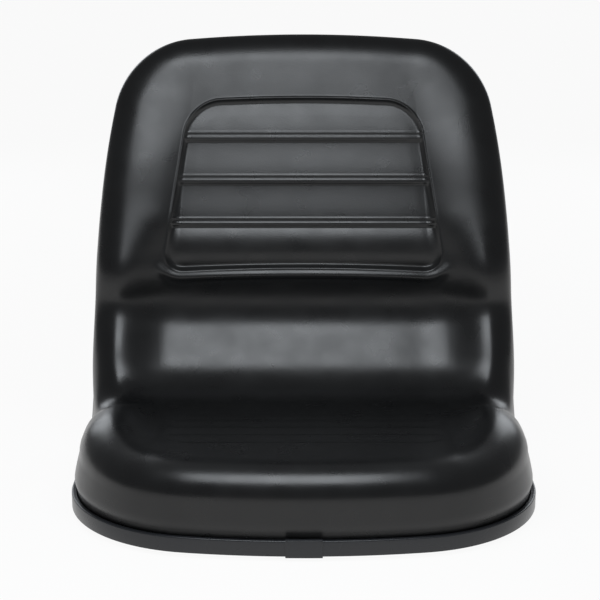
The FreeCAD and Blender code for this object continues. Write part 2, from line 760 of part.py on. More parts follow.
def overhang(run):
    """How far the upper back swells out over the trim."""
    return size("top_overhang") * ease(*OVERHANG_RISE, run)


# The wall's rings as (height over the pan, inset from its wall, share of the overhang): swelling out
# over the trim's crown, standing behind the trim and drawn in at the pan's rounded edge.
WALL_RINGS = [
    (25, 1.5, 0.9),
    (20, HUG, 0.4),
    (15, HUG, 0),
    (7, HUG, 0),
    (0, size("pan_edge_radius") + 2, 0),
]


def wall_ring(height, inset, swell):
    """Ring at a height over the pan's inner face, inset from the pan's wall."""
    ring = []
    for x, run, out_x, out_run in RIM:
        step = inset - swell * overhang(run)
        place = (x - step * out_x, run - step * out_run)
        ring.append(skin_point(*place, height / thickness(*place)))
    return ring


# The rings close up inside the seat insert, and at their lower end behind the pan's inner face.
BEHIND = -12
CLOSE = FRONT - size("seat_insert_front") + size("seat_insert_length") / 2


def under_ring(reach):
    """Ring behind the pan's inner face, drawn inwards; the pan's face trims it off."""
    ring = []
    inset = 3 * size("pan_edge_radius")
    for x, run, out_x, out_run in RIM:
        place_x = reach * (x - inset * out_x)
        place_run = CLOSE + reach * (run - inset * out_run - CLOSE)
        ring.append(skin_point(place_x, place_run, BEHIND / thickness(place_x, place_run)))
    return ring


# Run over which the seat's broad rolled edge turns into the back's.
SEAT_END = (BEND_FROM - 40, BEND_TO)


def roll_ring(turn, reach=1):
    """Ring on the rolled edge, turned from the wall (0) to the crest (90), then drawn inwards."""
    ring = []
    wall = size("edge_wall_height")
    share = size("edge_wall_share")
    for x, run, out_x, out_run in RIM:
        on_back = ease(*SEAT_END, run)
        roll = size("edge_roll") + on_back * (size("back_edge_roll") - size("edge_roll"))
        lean_in = (1 - on_back) * size("wall_lean") * out_x ** 2
        step = 1 + lean_in - overhang(run) + roll * (1 - math.cos(math.radians(turn)))
        place_x = reach * (x - step * out_x)
        place_run = CLOSE + reach * (run - step * out_run - CLOSE)
        thick = thickness(place_x, place_run)
        foot = (wall + share * (thick - wall)) / thick
        ring.append(skin_point(place_x, place_run, foot + (1 - foot) * math.sin(math.radians(turn))))
    return ring


# Shares of the way out at which the inner rings lie, closest together over the fillet and lumbar roll,
# the turns of the rings on the rolled edge, and the shares at which the rings behind the pan lie.
DRAWN = (0.06, 0.13, 0.19, 0.25, 0.31, 0.37, 0.43, 0.49, 0.56, 0.64, 0.73, 0.82, 0.91)
TURNS = (90, 74, 58, 42, 25, 8)
DRAWN_BEHIND = (1, 0.8, 0.6, 0.45, 0.3, 0.15)


def cushion_skin():
    """Solid inside a cubic surface that is closed round the rings and drawn to a point at each end."""
    net = [[skin_point(0, CLOSE, 1)] * len(RIM)]
    net += [roll_ring(90, reach) for reach in DRAWN]
    net += [roll_ring(turn) for turn in TURNS]
    net += [wall_ring(*ring) for ring in WALL_RINGS]
    net += [under_ring(reach) for reach in DRAWN_BEHIND]
    net += [[skin_point(0, CLOSE, BEHIND / thickness(0, CLOSE))] * len(RIM)]
    surface = Part.BSplineSurface()
    rows = len(net)
    degree = 3
    row_repeats = [degree + 1] + [1] * (rows - degree - 1) + [degree + 1]
    column_repeats = [1] * (len(RIM) + 1)
    row_knots = list(range(len(row_repeats)))
    column_knots = list(range(len(column_repeats)))
    repeats = (row_repeats, column_repeats)
    knots = (row_knots, column_knots)
    surface.buildFromPolesMultsKnots(net, *repeats, *knots, False, True, degree, degree)
    solid = Part.Solid(Part.Shell([surface.toShape()]))
    if solid.Volume < 0:
        solid.reverse()
    return solid


def over_pan():
    """The space in front of the pan's inner face, as wide as the seat twice over."""
    wide = 2 * HALF
    start = V(-wide, -wide, INNER_Z)
    bend_in = V(-wide, BEND_Y, INNER_Z)
    middle = math.radians(BEND / 2)
    on_bend = V(-wide, BEND_Y + BEND_R * math.sin(middle), BEND_CENTRE.z - BEND_R * math.cos(middle))
    bend_out = BEND_CENTRE - OFF_BACK * BEND_R - ACROSS * wide
    head = bend_out + UP_BACK * 2 * LENGTH
    corner = V(-wide, -wide, head.z)
    edges = [
        Part.makeLine(start, bend_in),
        Part.Arc(bend_in, on_bend, bend_out).toShape(),
        Part.makeLine(bend_out, head),
        Part.makeLine(head, corner),
        Part.makeLine(corner, start),
    ]
    return Part.Face(Part.Wire(edges)).extrude(ACROSS * 2 * wide)


moulding = doc.addObject("Part::Feature", "moulding")
moulding.Shape = cushion_skin().common(over_pan()).Solids[0]


def rounded(corners, radii, bows):
    """Closed outline with each corner rounded; a bow lifts the middle of the side after a corner."""
    cut = []
    for k, (x, y) in enumerate(corners):
        to_last = V(corners[k - 1][0] - x, corners[k - 1][1] - y, 0).normalize()
        following = corners[(k + 1) % len(corners)]
        to_next = V(following[0] - x, following[1] - y, 0).normalize()
        half_angle = to_last.getAngle(to_next) / 2
        start = V(x, y, 0) + to_last * (radii[k] / math.tan(half_angle))
        end = V(x, y, 0) + to_next * (radii[k] / math.tan(half_angle))
        inward = (to_last + to_next).normalize()
        middle = V(x, y, 0) + inward * (radii[k] / math.sin(half_angle) - radii[k])
        cut.append((start, middle, end))
    pieces = []
    for k, (start, middle, end) in enumerate(cut):
        following = cut[(k + 1) % len(cut)][0]
        pieces.append(bulge(start, middle, end))
        if bows[k]:
            pieces.append(bulge(end, (end + following) / 2 + V(0, bows[k], 0), following))
        else:
            pieces.append(Part.LineSegment(end, following))
    return pieces


def rib_row(count, length, floor, rib):
    """Side view of a row of pads from the foot up: out of the cushion along X, up the row along Y.

    Each pad kicks out towards its foot and ends in a crease and a raised rib; the lowest is a round roll.
    """
    pitch = length / count
    crest = rib / 2
    back = -floor - 1
    roll_belly = 0.2 * floor
    roll_top = -0.5 * floor
    pad_belly = -0.42 * floor
    pad_top = -0.75 * floor
    rib_side = -0.1 * floor
    rib_crest = 0.1 * floor
    crease_floor = -0.4 * floor
    pad_foot = -0.12 * floor
    pieces = [line((back, 0), (-floor, 0))]
    last = (-floor, 0)
    for k in range(count):
        middle = (k + 0.45) * pitch
        head = (k + 1) * pitch
        under_rib = head - crest - 1.5
        if k == 0:
            top = (roll_top, under_rib)
            pieces.append(bulge(last, (roll_belly, middle), top))
        else:
            top = (pad_top, under_rib)
            pieces.append(bulge(last, (pad_belly, middle), top))
        if k == count - 1:
            break
        under = (rib_side, head - crest)
        over = (rib_side, head + crest)
        crease = (crease_floor, head + crest + 0.8)
        last = (pad_foot, head + crest + 2)
        pieces += [line(top, under), bulge(under, (rib_crest, head), over)]
        pieces += [line(over, crease), line(crease, last)]
    end = (back, top[1])
    return pieces + [line(top, end), line(end, (back, 0))]


def ribbed_insert(name, origin, up, out, outline, inner, row, depth, half_width):
    """A sunk panel and its row of pads: the tool that sinks it, and the pads to stand in it."""
    plan = facing(origin, ACROSS, up)
    sunk_sketch = free_sketch(name + "_outline", plan)
    draw(sunk_sketch, outline)
    sunk = extrusion(name + "_sunk", sunk_sketch, "10 * " + depth, depth)
    inner_sketch = free_sketch(name + "_pad_outline", plan)
    draw(inner_sketch, inner)
    bounds = extrusion(name + "_pad_bounds", inner_sketch, "10 * " + depth, "10 * " + depth)
    row_sketch = free_sketch(name + "_pad_row", facing(origin + up * size("insert_gap"), out, up))
    draw(row_sketch, row)
    strip = extrusion(name + "_pad_strip", row_sketch, half_width, half_width)
    pads = doc.addObject("Part::MultiCommon", name + "_pads")
    pads.Shapes = [strip, bounds]
    return sunk, pads


# Back insert: a sunk panel, wider at its foot, with four pads between ribs.
GAP = size("insert_gap")


def back_outline_at(gap):
    foot = size("insert_foot_width") / 2 - gap
    head = size("insert_top_width") / 2 - gap
    length = size("insert_length")
    corners = [(foot, gap), (head, length - gap), (-head, length - gap), (-foot, gap)]
    low = size("insert_foot_corner") - gap
    high = size("insert_top_corner") - gap
    return rounded(corners, [low, high, high, low], [0, size("insert_top_bow"), 0, size("insert_foot_bow")])


BACK_UP = V(0, math.sin(LEAN), math.cos(LEAN))
BACK_OUT = V(0, -math.cos(LEAN), math.sin(LEAN))
back_row = rib_row(4, size("insert_length") - 2 * GAP, size("insert_depth"), size("rib_width"))
back_foot = V(0, FOOT_Y, FOOT_Z) - BACK_UP * size("insert_drop")
back_sunk, back_pads = ribbed_insert(
    "back_insert", back_foot, BACK_UP, BACK_OUT, back_outline_at(0), back_outline_at(GAP), back_row,
    "dimensions.insert_depth", "dimensions.insert_foot_width / 2")


# Seat insert: the same kind of panel, shallower, lying on the falling seat.
def seat_outline_at(gap):
    half = size("seat_insert_width") / 2 - gap
    length = size("seat_insert_length") - gap
    corners = [(half, gap), (half, length), (-half, length), (-half, gap)]
    return rounded(corners, [size("seat_insert_corner") - gap] * 4, [0, 0, 0, 0])


SEAT_UP = V(0, math.cos(FALL), -math.sin(FALL))
SEAT_OUT = V(0, math.sin(FALL), math.cos(FALL))
seat_row = rib_row(4, size("seat_insert_length") - 2 * GAP, size("seat_insert_depth"), size("rib_width"))
seat_front_run = FRONT - size("seat_insert_front")
seat_foot = V(0, -size("seat_insert_front"), FACE_Z - seat_front_run * math.tan(FALL))
seat_sunk, seat_pads = ribbed_insert(
    "seat_insert", seat_foot, SEAT_UP, SEAT_OUT, seat_outline_at(0), seat_outline_at(GAP), seat_row,
    "dimensions.seat_insert_depth", "dimensions.seat_insert_width / 2")

# Room in the foam's underside over each weld nut.
room_sketch = free_sketch("nut_room_circles", FreeCAD.Placement(V(0, 0, INNER_Z), FreeCAD.Rotation()))
room_circles = [Part.Circle(V(x, y, 0), V(0, 0, 1), NUT_RADIUS + size("nut_room")) for x, y in BOLTS]
draw(room_sketch, room_circles)
rooms = extrusion("nut_rooms", room_sketch, "dimensions.nut_height", "dimensions.sheet_gauge")

hollowed = doc.addObject("Part::Cut", "hollowed_moulding")
hollowed.Base = moulding
tools = doc.addObject("Part::MultiFuse", "hollowing_tools")
tools.Shapes = [back_sunk, seat_sunk, rooms]
hollowed.Tool = tools
cushion = doc.addObject("Part::MultiFuse", "cushion_solid")
cushion.Shapes = [hollowed, back_pads, seat_pads]
cushion.Label = "cushion"
doc.recompute()

PIECES = [cushion, pan, trim, joiner, nuts]
for item in doc.Objects:
    if "Invalid" in item.State or "Error" in item.State:
        raise RuntimeError("not built: " + item.Name)
os.makedirs("parts", exist_ok=True)
for piece in PIECES:
    if piece.Shape.isNull() or not piece.Shape.isValid():
        raise RuntimeError("unsound shape: " + piece.Label)
    piece.Shape.exportStep("parts/%s.step" % piece.Label)
    print(piece.Label, len(piece.Shape.Solids), len(piece.Shape.Faces), round(piece.Shape.Volume))
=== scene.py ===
import bpy
import math
import numpy as np
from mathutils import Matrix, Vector


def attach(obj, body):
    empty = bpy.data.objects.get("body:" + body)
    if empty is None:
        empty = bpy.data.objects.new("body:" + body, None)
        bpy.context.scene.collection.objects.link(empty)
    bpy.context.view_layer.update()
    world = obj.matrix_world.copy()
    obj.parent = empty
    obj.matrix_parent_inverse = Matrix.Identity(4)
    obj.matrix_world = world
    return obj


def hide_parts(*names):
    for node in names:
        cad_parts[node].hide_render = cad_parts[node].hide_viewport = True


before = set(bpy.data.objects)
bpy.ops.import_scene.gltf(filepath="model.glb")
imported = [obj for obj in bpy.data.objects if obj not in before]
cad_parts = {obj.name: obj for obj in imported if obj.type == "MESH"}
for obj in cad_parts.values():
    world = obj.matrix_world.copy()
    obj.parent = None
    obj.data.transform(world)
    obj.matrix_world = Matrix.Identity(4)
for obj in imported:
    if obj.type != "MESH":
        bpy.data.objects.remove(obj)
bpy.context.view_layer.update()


# Seat pan: one pressed sheet of 1.5 mm steel, painted satin black, bent up from seat to back.
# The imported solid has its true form, so it stays and gets the paint; the run along its inner
# face from the front rim is the measure that the trim and the cushion are set out with.
SHEET = 1.5
PAN_FOOT = 3.0
PAN_HALF_WIDTH = 233.0
PAN_FRONT = 157.0
BEND_START = 123.0
BEND_RADIUS = 80.0
BEND_ANGLE = math.radians(75)
BACK_LENGTH = 381.0
BEND_FROM = PAN_FRONT + BEND_START
BEND_TO = BEND_FROM + BEND_RADIUS * BEND_ANGLE
RIM_LENGTH = BEND_TO + BACK_LENGTH


def pan_line(run):
    """Pan seen from the side: flat, then an arc, then straight up the back.

    The turn grows evenly along the bend; returns Y, Z and the normal's Y, Z on the inner face.
    """
    turn = BEND_ANGLE * np.clip((run - BEND_FROM) / (BEND_TO - BEND_FROM), 0, 1)
    rise = np.maximum(0, run - BEND_TO)
    y = np.minimum(run, BEND_FROM) - PAN_FRONT + BEND_RADIUS * np.sin(turn) + rise * np.cos(turn)
    z = PAN_FOOT + SHEET + BEND_RADIUS * (1 - np.cos(turn)) + rise * np.sin(turn)
    return y, z, -np.sin(turn), np.cos(turn)


def new_node(tree, kind, **values):
    """Adds a node and sets its plain properties and unlinked sockets by name."""
    node = tree.nodes.new(kind)
    for name, value in values.items():
        if name in node.inputs:
            node.inputs[name].default_value = value
        else:
            setattr(node, name, value)
    return node


def fine_grain_group():
    """Pebbled grain: cell distance and half a fine noise; a slow drift makes level and gloss uneven."""
    group = bpy.data.node_groups.new("fine_grain", "ShaderNodeTree")
    face = group.interface
    face.new_socket("Vector", in_out="INPUT", socket_type="NodeSocketVector")
    for name, value in (("Cells", 900.0), ("Drift", 14.0)):
        face.new_socket(name, in_out="INPUT", socket_type="NodeSocketFloat").default_value = value
    for name in ("Height", "Gloss"):
        face.new_socket(name, in_out="OUTPUT", socket_type="NodeSocketFloat")
    inner = new_node(group, "NodeGroupInput")
    outer = new_node(group, "NodeGroupOutput")
    cells = new_node(group, "ShaderNodeTexVoronoi", feature="SMOOTH_F1")
    cells.inputs["Smoothness"].default_value = 0.6
    specks = new_node(group, "ShaderNodeTexNoise", Detail=3.0)
    drift = new_node(group, "ShaderNodeTexNoise", Detail=2.0)
    mix = new_node(group, "ShaderNodeMath", operation="MULTIPLY_ADD")
    mix.inputs[1].default_value = 0.5
    waves = new_node(group, "ShaderNodeMath", operation="MULTIPLY_ADD")
    waves.inputs[1].default_value = 2.0
    for texture in (cells, specks, drift):
        group.links.new(inner.outputs["Vector"], texture.inputs["Vector"])
    group.links.new(inner.outputs["Cells"], cells.inputs["Scale"])
    group.links.new(inner.outputs["Cells"], specks.inputs["Scale"])
    group.links.new(inner.outputs["Drift"], drift.inputs["Scale"])
    group.links.new(specks.outputs["Fac"], mix.inputs[0])
    group.links.new(cells.outputs["Distance"], mix.inputs[2])
    group.links.new(drift.outputs["Fac"], waves.inputs[0])
    group.links.new(mix.outputs[0], waves.inputs[2])
    group.links.new(waves.outputs[0], outer.inputs["Height"])
    group.links.new(drift.outputs["Fac"], outer.inputs["Gloss"])
    return group


fine_grain = fine_grain_group()


def grained(name, colours, cells, drift, depth, gloss):
    """Principled finish whose colour and roughness follow the drift, with the grain as a bump.

    Cells and drift are counted to the metre and the depth is in metres.
    """
    material = bpy.data.materials.new(name)
    material.use_nodes = True
    tree = material.node_tree
    shader = tree.nodes["Principled BSDF"]
    place = new_node(tree, "ShaderNodeTexCoord")
    grain = new_node(tree, "ShaderNodeGroup", node_tree=fine_grain)
    grain.inputs["Cells"].default_value = cells
    grain.inputs["Drift"].default_value = drift
    tone = new_node(tree, "ShaderNodeValToRGB")
    tone.color_ramp.elements[0].color = (*colours[0], 1)
    tone.color_ramp.elements[1].color = (*colours[1], 1)
    rough = new_node(tree, "ShaderNodeMapRange")
    rough.inputs["From Min"].default_value = 0.3
    rough.inputs["From Max"].default_value = 0.7
    rough.inputs["To Min"].default_value = gloss[0]
    rough.inputs["To Max"].default_value = gloss[1]
    bump = new_node(tree, "ShaderNodeBump", Strength=1.0, Distance=depth)
    tree.links.new(place.outputs["Object"], grain.inputs["Vector"])
    tree.links.new(grain.outputs["Gloss"], tone.inputs["Fac"])
    tree.links.new(grain.outputs["Gloss"], rough.inputs["Value"])
    tree.links.new(grain.outputs["Height"], bump.inputs["Height"])
    tree.links.new(tone.outputs["Color"], shader.inputs["Base Color"])
    tree.links.new(rough.outputs["Result"], shader.inputs["Roughness"])
    tree.links.new(bump.outputs["Normal"], shader.inputs["Normal"])
    return material


def dress(piece, material):
    """Gives a piece its finish in place of any that it has."""
    piece.data.materials.clear()
    piece.data.materials.append(material)


PAINT = ((0.010, 0.010, 0.011), (0.016, 0.016, 0.017))
black_paint = grained("black_paint", PAINT, cells=420, drift=9, depth=0.00004, gloss=(0.34, 0.46))
dress(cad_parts["seat_pan"], black_paint)


# Weld nuts: four zinc-plated M8 nuts of steel, welded inside the pan over its bolt holes.
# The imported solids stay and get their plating; from outside only their bores are seen.
ZINC = ((0.42, 0.42, 0.40), (0.56, 0.56, 0.52))
zinc = grained("zinc_plate", ZINC, cells=1500, drift=60, depth=0.00002, gloss=(0.3, 0.5))
zinc.node_tree.nodes["Principled BSDF"].inputs["Metallic"].default_value = 1.0
dress(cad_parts["weld_nuts"], zinc)


# Edge trim: extruded black plastic channel, pushed over the pan's upstand all the way round.
# Its flat outer leg shows as a band under the cushion; the ends meet at the front's middle.
MM = 0.001
UPSTAND = 14.0
TRIM_FIT = 0.25
TRIM_LEG = 2.0
TRIM_GRIP = SHEET + TRIM_FIT
TRIM_GRIP_IN = TRIM_GRIP + 1.5
TRIM_TOP = UPSTAND + 3.0
TRIM_FOOT = UPSTAND - 12.5
TRIM_INNER_FOOT = UPSTAND - 8.0
TRIM_GAP = 2.0
FRONT_BOW = 690.0
FRONT_CORNER = 141.0
BACK_SIDE = 1575.0
BACK_CORNER = 88.0
BACK_TOP = 1500.0


def circles_meet(first, first_radius, second, second_radius):
    """Upper crossing of two circles: along the line of centres, then square to it."""
    gap = second - first
    span = np.hypot(*gap)
    along = (first_radius**2 - second_radius**2 + span**2) / (2 * span)
    off = math.sqrt(first_radius**2 - along**2)
    square = np.array((gap[1], -gap[0])) * off / span
    middle = first + gap * along / span
    return max(middle + square, middle - square, key=lambda point: point[1])


corner_x = PAN_HALF_WIDTH - FRONT_CORNER
bow_run = FRONT_BOW
corner_run = bow_run - math.sqrt((FRONT_BOW - FRONT_CORNER) ** 2 - corner_x**2)
corner_turn = math.atan2(corner_x, bow_run - corner_run)
side_centre = np.array((PAN_HALF_WIDTH - BACK_SIDE, BEND_TO))
top_centre = np.array((0, RIM_LENGTH - BACK_TOP))
knuckle = circles_meet(side_centre, BACK_SIDE - BACK_CORNER, top_centre, BACK_TOP - BACK_CORNER)
side_turn = math.atan2(*(knuckle - side_centre)[::-1])
top_turn = math.atan2(*(knuckle - top_centre)[::-1])
RIM_BREAKS = np.cumsum([
    0,
    FRONT_BOW * corner_turn,
    FRONT_CORNER * (math.pi / 2 - corner_turn),
    BEND_TO - corner_run,
    BACK_SIDE * side_turn,
    BACK_CORNER * (top_turn - side_turn),
    BACK_TOP * (math.pi / 2 - top_turn),
])


def rim(length):
    """Right half of the pan's wall on the developed sheet, at a length from the front's middle.

    Front bow, front corner, straight side, side arc, top corner and top bow follow one another.
    Returns x, run and the outward direction on the sheet.
    """
    part = [length - start for start in RIM_BREAKS]
    zone = [length < stop for stop in RIM_BREAKS[1:6]]
    turn = np.select(zone, [
        part[0] / FRONT_BOW - math.pi / 2, corner_turn + part[1] / FRONT_CORNER - math.pi / 2,
        0 * length, part[3] / BACK_SIDE, side_turn + part[4] / BACK_CORNER],
        top_turn + part[5] / BACK_TOP)
    out_x = np.cos(turn)
    out_run = np.sin(turn)
    x = np.select(zone, [
        FRONT_BOW * out_x, corner_x + FRONT_CORNER * out_x, PAN_HALF_WIDTH + 0 * length,
        side_centre[0] + BACK_SIDE * out_x, knuckle[0] + BACK_CORNER * out_x], BACK_TOP * out_x)
    run = np.select(zone, [
        bow_run + FRONT_BOW * out_run, corner_run + FRONT_CORNER * out_run, corner_run + part[2],
        side_centre[1] + BACK_SIDE * out_run, knuckle[1] + BACK_CORNER * out_run],
        top_centre[1] + BACK_TOP * out_run)
    return x, run, out_x, out_run


def rounded_section(corners, radii, steps=4):
    """Closed section with each corner replaced by an arc of its own radius."""
    corners = np.array(corners, float)
    radii = np.array(radii, float)[:, None]
    to_last = np.roll(corners, 1, axis=0) - corners
    to_next = np.roll(corners, -1, axis=0) - corners
    to_last /= np.linalg.norm(to_last, axis=1, keepdims=True)
    to_next /= np.linalg.norm(to_next, axis=1, keepdims=True)
    centre = corners + (to_last + to_next) * radii
    swing = np.linspace(0, math.pi / 2, steps)[None, :, None]
    inward = to_next[:, None] * np.cos(swing) + to_last[:, None] * np.sin(swing)
    return (centre[:, None] - radii[:, None] * inward).reshape(-1, 2)


def mesh_object(name, points, quads, caps=()):
    """Mesh of numpy points in millimetres, quads as rows of four, and a few many-sided end caps."""
    mesh = bpy.data.meshes.new(name)
    mesh.from_pydata(points.reshape(-1, 3) * MM, [], quads.tolist() + [list(cap) for cap in caps])
    mesh.update()
    mesh.shade_smooth()
    piece = bpy.data.objects.new(name, mesh)
    bpy.context.scene.collection.objects.link(piece)
    return piece


def carried(name, section, x, run, out_x, out_run):
    """Section carried along the rim: out from the pan's wall, and off its outer face."""
    y, z, normal_y, normal_z = pan_line(run)
    tangent_y, tangent_z = normal_z, -normal_y
    base = np.stack([x, y - SHEET * normal_y, z - SHEET * normal_z], axis=1)
    outward = np.stack([out_x, out_run * tangent_y, out_run * tangent_z], axis=1)
    normal = np.stack([0 * x, normal_y, normal_z], axis=1)
    points = base[:, None] + section[:, 0, None] * outward[:, None]
    points = points + section[:, 1, None] * normal[:, None]
    count, around = len(x), len(section)
    row = np.arange(count - 1)[:, None] * around
    here = np.arange(around)[None]
    there = (here + 1) % around
    corners = [row + here, row + there, row + around + there, row + around + here]
    quads = np.stack(corners, axis=-1).reshape(-1, 4)
    caps = [range(around - 1, -1, -1), range((count - 1) * around, count * around)]
    return mesh_object(name, points, quads, caps)


MIRROR = (-1, 1, -1, 1)


def whole_rim(start, spacing):
    """Both halves of the rim in one line, from one side of the front joint round to the other.

    The second half is the first one mirrored: x and the outward x change sign.
    """
    length = np.linspace(start, RIM_BREAKS[-1], int(RIM_BREAKS[-1] / spacing))
    return [np.concatenate([half, sign * half[-2::-1]]) for half, sign in zip(rim(length), MIRROR)]


TRIM_SECTION = rounded_section(
    [(-TRIM_GRIP_IN, TRIM_TOP), (-TRIM_GRIP_IN, TRIM_INNER_FOOT), (-TRIM_GRIP, TRIM_INNER_FOOT),
     (-TRIM_GRIP, UPSTAND), (TRIM_FIT, UPSTAND), (TRIM_FIT, TRIM_FOOT), (TRIM_LEG, TRIM_FOOT),
     (TRIM_LEG, TRIM_TOP)],
    [1.2, 0.5, 0.5, 0.3, 0.3, 0.5, 0.7, 1.2])
edge_trim = carried("edge_trim_channel", TRIM_SECTION, *whole_rim(TRIM_GAP / 2, 5))
PLASTIC = ((0.018, 0.019, 0.022), (0.026, 0.028, 0.032))
trim_plastic = grained("trim_plastic", PLASTIC, cells=1300, drift=22, depth=0.00002, gloss=(0.24, 0.32))
dress(edge_trim, trim_plastic)
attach(edge_trim, "root")
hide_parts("edge_trim")


# Trim joiner: a short sleeve moulded in the trim's black plastic, clipped over the joint of its
# two ends at the front's middle; lips at its head and foot hold it on the channel.
JOINER_LENGTH = 35.0
JOINER_WALL = 0.8
JOINER_LIP = 2.0
joiner_face = TRIM_LEG + TRIM_FIT
joiner_top = TRIM_TOP + TRIM_FIT
joiner_foot = TRIM_FOOT - TRIM_FIT
sleeve_out = joiner_face + JOINER_WALL
sleeve_head = joiner_top + JOINER_WALL
sleeve_foot = joiner_foot - JOINER_WALL
head_lip = joiner_face - 2 * JOINER_LIP
foot_lip = joiner_face - JOINER_LIP
JOINER_SECTION = rounded_section(
    [(sleeve_out, sleeve_foot), (sleeve_out, sleeve_head), (head_lip, sleeve_head),
     (head_lip, joiner_top), (joiner_face, joiner_top), (joiner_face, joiner_foot),
     (foot_lip, joiner_foot), (foot_lip, sleeve_foot)],
    [0.5, 0.6, 0.4, 0.3, 0.2, 0.2, 0.3, 0.4])
half_sleeve = rim(np.linspace(0, JOINER_LENGTH / 2, 8))
sleeve = [np.concatenate([sign * half[:0:-1], half]) for half, sign in zip(half_sleeve, MIRROR)]
trim_joiner = carried("trim_joiner_sleeve", JOINER_SECTION, *sleeve)
soft_ends = trim_joiner.modifiers.new("soft_ends", "BEVEL")
soft_ends.width = 0.3 * MM
soft_ends.segments = 2
soft_ends.angle_limit = math.radians(60)
dress(trim_joiner, trim_plastic)
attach(trim_joiner, "root")
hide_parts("trim_joiner")


# Cushion: one moulding of foam under a tough black vinyl skin, pressed into the pan inside the trim.
# The seat falls a little to the rear, climbs a ramp to the lumbar bulge and ends in the winged back.
# A sunk panel of pads between ribs is moulded into the back, and a shallower one into the seat.
SEAT_FRONT_Z = PAN_FOOT + SHEET + 84.0
SEAT_FALL = math.radians(3.9)
FILLET_RADIUS = 88.0
LUMBAR_RADIUS = 60.0
LUMBAR_OVERHANG = math.radians(12)
FACE_LEAN = math.radians(15.5)
INSERT_FOOT_Y = 189.5
RAMP_ANGLE = math.radians(55)
RAMP_FOOT_RADIUS = 70.7
RAMP_LENGTH = 34.0
RAMP_HEAD_RADIUS = 61.7
BACK_HOLLOW_RADIUS = 4000.0
CURVE_BLEND = 26.0

# The seat's flat part ends where a plain arc of the fillet's radius up to the lumbar bulge would begin.
ramp_foot = RAMP_FOOT_RADIUS * (SEAT_FALL + RAMP_ANGLE)
fillet_length = ramp_foot + RAMP_LENGTH + RAMP_HEAD_RADIUS * (math.pi / 2 + LUMBAR_OVERHANG - RAMP_ANGLE)
lumbar_length = LUMBAR_RADIUS * (LUMBAR_OVERHANG + FACE_LEAN)
fillet_y = (INSERT_FOOT_Y - (FILLET_RADIUS + LUMBAR_RADIUS) * math.cos(LUMBAR_OVERHANG)
            + LUMBAR_RADIUS * math.cos(FACE_LEAN))
seat_length = (fillet_y - FILLET_RADIUS * math.sin(SEAT_FALL) + PAN_FRONT) / math.cos(SEAT_FALL)
lumbar_end = seat_length + fillet_length + lumbar_length


def face_profile():
    """Sitter's side along the middle, as one bending after another, softly blended.

    Flat seat, hollow foot of the ramp, straight ramp, hollow head of it, round lumbar bulge, and a
    very slightly hollow back. Summing the bending gives the slope, and summing the slope's cosine
    and sine gives Y and Z.
    """
    step = 0.5
    along = np.arange(-60, 800, step)
    turns = seat_length + np.array([0, ramp_foot, ramp_foot + RAMP_LENGTH, fillet_length])
    bend = np.select(
        [along < turns[0], along < turns[1], along < turns[2], along < turns[3], along < lumbar_end],
        [0, 1 / RAMP_FOOT_RADIUS, 0, 1 / RAMP_HEAD_RADIUS, -1 / LUMBAR_RADIUS], 1 / BACK_HOLLOW_RADIUS)
    blend = np.hanning(int(CURVE_BLEND / step))
    slope = np.cumsum(np.convolve(bend, blend / blend.sum(), "same")) * step - SEAT_FALL
    y = np.cumsum(np.cos(slope)) * step
    z = np.cumsum(np.sin(slope)) * step
    y += -PAN_FRONT - np.interp(0, along, y)
    z += SEAT_FRONT_Z - np.interp(0, along, z)
    return along, y, z, slope


FACE = face_profile()
rim_top_y, rim_top_z = pan_line(np.array(RIM_LENGTH))[:2]
face_above_roll = ((rim_top_y - np.interp(lumbar_end, FACE[0], FACE[1])) * math.sin(FACE_LEAN)
                   + (rim_top_z - np.interp(lumbar_end, FACE[0], FACE[2])) * math.cos(FACE_LEAN))
FACE_LENGTH = lumbar_end + float(face_above_roll)


def ease(start, end, value):
    """Zero before start, one after end, a smooth step between."""
    part = np.clip((value - start) / (end - start), 0, 1)
    return part * part * (3 - 2 * part)


def face_run(run):
    """Run along the sitter's side for a run along the pan; the difference eases in over the bend."""
    return run + (FACE_LENGTH - RIM_LENGTH) * ease(0.75 * BEND_FROM, BEND_TO + 60, run)


SEAT_BOLSTER = 18.0
HIP_BOLSTER = 3.0
WING_LOW = 27.0
WING = 12.0
WING_TOP = 2.0
BOLSTER_FOOT = 146.0
HIP_FOOT = 118.0
WING_FOOT = 142.0
BOLSTER_CREST = 192.0
WING_CREST = 207.0
UPPER_CREST = 202.0
BOLSTER_STEP = 0.9
HIP_STEP = 1.6
WING_STEP = 0.6
SEAT_RISE = (20, 160)
HIP_DIP = (BEND_FROM - 110, BEND_FROM - 30)
HIP_ZONE = (BEND_FROM - 40, BEND_FROM + 50)
WING_FROM = BEND_FROM - 9
WING_CLIMB = BEND_TO - BEND_FROM + 62
WING_SOFT_START = 0.14
WING_FOOT_ZONE = (BEND_TO + 75, BEND_TO + 145)
WING_ZONE = (BEND_TO + 90, BEND_TO + 190)
WING_FALL = (BEND_TO + 45, BEND_TO + 235)
WING_FADE = (BEND_TO + 215, RIM_LENGTH - 30)


